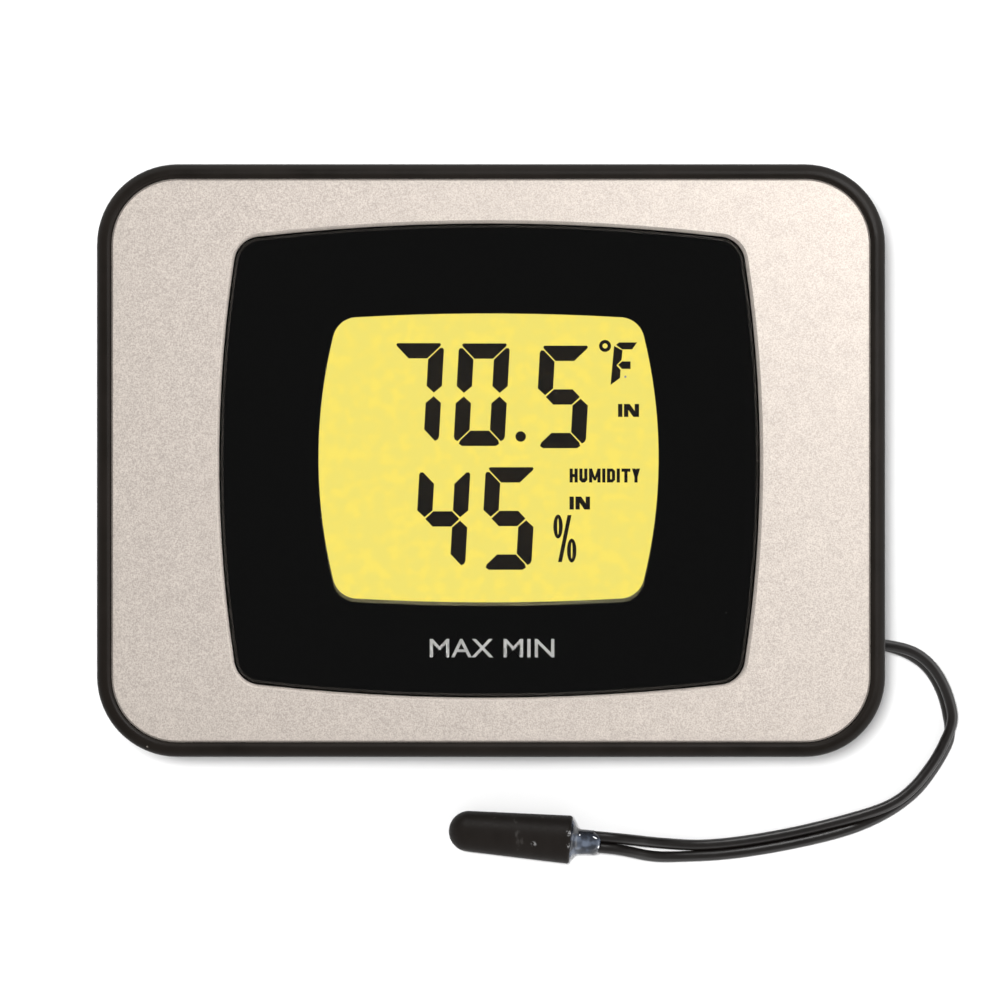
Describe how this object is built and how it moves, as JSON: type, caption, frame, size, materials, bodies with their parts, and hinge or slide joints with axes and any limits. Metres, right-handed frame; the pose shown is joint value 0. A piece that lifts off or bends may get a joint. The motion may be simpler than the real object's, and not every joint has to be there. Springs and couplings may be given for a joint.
{
  "type": "maximum minimum thermometer",
  "caption": "Indoor and outdoor maximum minimum thermometer: silver-faced black case, backlit yellow display, humidity reading, fold-out stand, wired bullet probe",
  "frame": {"origin": "middle of the case's footprint, on the surface that the unit lies on; the free probe and its cord aren't counted", "axes": "+Z comes out of the display, +X is the display's right, +Y is its top edge"},
  "size_m": [0.1239, 0.1, 0.025],
  "materials": {
    "housing_black": "fine satin, moulded",
    "rear_black": "light spark texture",
    "panel_silver": "fine metallic paint",
    "lens_clear": "polished clear acrylic",
    "mask_black": "gloss black print",
    "tape_black": "thin foam tape",
    "frame_plastic": "moulded, lit by the backlight",
    "lcd_glass": "polished",
    "polariser": "satin film",
    "light_guide": "clear acrylic, edge-lit yellow",
    "reflector": "white film",
    "led_body": "lamp body with yellow lens",
    "zebra_rubber": "layered elastomer",
    "board_green": "solder mask over glass fibre",
    "epoxy_black": "glossy epoxy dome",
    "component_mix": "small ceramic parts",
    "crystal_can": "drawn can",
    "sensor_white": "vented cover",
    "thermistor_black": "dipped resin",
    "screw_steel": "zinc-plated",
    "button_grey": "soft satin",
    "plunger_white": "moulded",
    "switch_body": "moulded",
    "slider_white": "moulded",
    "cell_wrap": "printed sleeve",
    "contact_metal": "nickel-plated spring steel",
    "cord_black": "satin vinyl",
    "gland_black": "moulded rubber",
    "probe_black": "satin, slight scuffs",
    "glue_clear": "cloudy clear glue"
  },
  "bodies": {
    "case": {"front_housing": "housing_black", "rear_housing": "rear_black", "face_panel": "panel_silver", "display_lens": "lens_clear", "lens_mask": "mask_black", "lens_tape": "tape_black", "case_screws": "screw_steel", "lcd_frame": "frame_plastic", "backlight_reflector": "reflector", "backlight_guide": "light_guide", "backlight_diffuser": "reflector", "lcd_rear_polariser": "polariser", "lcd_rear_glass": "lcd_glass", "lcd_front_glass": "lcd_glass", "lcd_front_polariser": "polariser", "zebra_strip": "zebra_rubber", "backlight_leds": "led_body", "main_board": "board_green", "board_screws": "screw_steel", "chip_blob": "epoxy_black", "board_components": "component_mix", "quartz_crystal": "crystal_can", "humidity_sensor": "sensor_white", "room_thermistor": "thermistor_black", "tact_switches": "switch_body", "unit_switch_body": "switch_body", "battery_upper": "cell_wrap", "battery_lower": "cell_wrap", "negative_contact": "contact_metal", "positive_contact": "contact_metal", "bridge_contact": "contact_metal", "cord_gland": "gland_black", "probe_cord": "cord_black", "inner_lead": "cord_black", "probe_cap": "probe_black", "probe_potting": "glue_clear", "probe_thermistor": "thermistor_black"},
    "door": {"battery_door": "rear_black"},
    "stand_leg": {"stand": "rear_black"},
    "unit_knob": {"unit_slider": "slider_white"},
    "light_key": {"light_button": "button_grey", "light_plunger": "plunger_white"},
    "channel_key": {"channel_button": "button_grey", "channel_plunger": "plunger_white"},
    "max_min_key": {"max_min_button": "button_grey", "max_min_plunger": "plunger_white"},
    "reset_key": {"reset_button": "button_grey", "reset_plunger": "plunger_white"}
  },
  "joints": [
    {"name": "stand_hinge", "type": "hinge", "parent": "case", "child": "stand_leg", "pos_m": [0, -0.011, 0.0016], "axis": [1, 0, 0], "range_deg": [0, 42]},
    {"name": "door_hinge", "type": "hinge", "parent": "case", "child": "door", "pos_m": [0, 0.02225, 0.00105], "axis": [1, 0, 0], "range_deg": [0, 95]},
    {"name": "unit_slide", "type": "slide", "parent": "case", "child": "unit_knob", "axis": [1, 0, 0], "range_m": [0, 0.002]},
    {"name": "light_press", "type": "slide", "parent": "case", "child": "light_key", "axis": [0, 0, 1], "range_m": [0, 0.0005], "stiffness_N_per_m": 2500, "springref_m": -0.0001},
    {"name": "channel_press", "type": "slide", "parent": "case", "child": "channel_key", "axis": [0, 0, 1], "range_m": [0, 0.0005], "stiffness_N_per_m": 2500, "springref_m": -0.0001},
    {"name": "max_min_press", "type": "slide", "parent": "case", "child": "max_min_key", "axis": [0, 0, 1], "range_m": [0, 0.0005], "stiffness_N_per_m": 2500, "springref_m": -0.0001},
    {"name": "reset_press", "type": "slide", "parent": "case", "child": "reset_key", "axis": [0, 0, 1], "range_m": [0, 0.0005], "stiffness_N_per_m": 2500, "springref_m": -0.0001}
  ]
}
